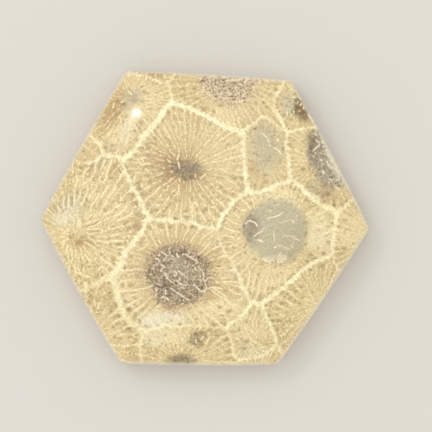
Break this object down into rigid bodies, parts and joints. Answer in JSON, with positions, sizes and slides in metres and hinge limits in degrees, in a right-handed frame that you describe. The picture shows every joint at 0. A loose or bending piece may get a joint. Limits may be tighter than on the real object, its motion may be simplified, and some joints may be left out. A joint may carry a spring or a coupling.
{
  "type": "fossil coral cabochon",
  "caption": "Hexagonal cabochon of colonial fossil coral, flat behind with a low polished dome, for setting, gluing down or display.",
  "frame": {"origin": "middle of the flat back: the bottom centre of the bounding box", "axes": "+Z out of the flat back towards the top of the dome, +X along the long way across two opposite corners, +Y across two opposite sides"},
  "size_m": [0.0298, 0.0268, 0.0055],
  "materials": {
    "fossil_coral": "polished"
  },
  "bodies": {
    "root": {"coral_stone": "fossil_coral"}
  },
  "joints": []
}
